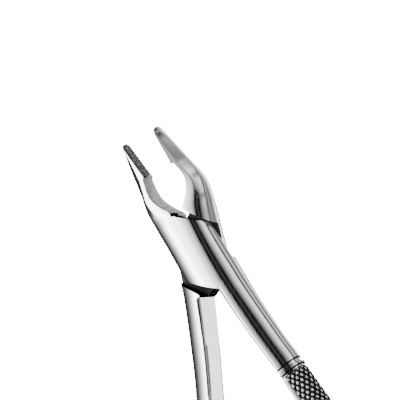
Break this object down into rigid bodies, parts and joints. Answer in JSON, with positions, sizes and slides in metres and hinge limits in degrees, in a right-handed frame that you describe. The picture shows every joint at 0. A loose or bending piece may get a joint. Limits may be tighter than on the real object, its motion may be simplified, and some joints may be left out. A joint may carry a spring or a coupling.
{
  "type": "extraction forceps",
  "caption": "Hinged dental extraction forceps with a screwed lap joint, narrow upward-bent beaks with gripping inserts, and bowed grips.",
  "frame": {"origin": "on the pivot axis, in the plane that the forceps lies on, at the mouth of the screwdriver slot", "axes": "+Y towards the beak tips, +X across the forceps, +Z along the pivot, away from the surface that it lies on"},
  "size_m": [0.073, 0.1624, 0.0158],
  "materials": {
    "polished_steel": "mirror-polished stainless steel with knurled grips",
    "screw_steel": "turned stainless steel",
    "grip_insert": "dark granular carbide coating"
  },
  "bodies": {
    "upper": {"upper_lever": "polished_steel", "pivot_screw": "screw_steel", "upper_beak_insert": "grip_insert"},
    "lower": {"lower_lever": "polished_steel", "lower_beak_insert": "grip_insert"}
  },
  "joints": [
    {"name": "pivot", "type": "hinge", "parent": "upper", "child": "lower", "pos_m": [0, 0, 0.005], "axis": [0, 0, 1], "range_deg": [-8, 16.4]}
  ]
}
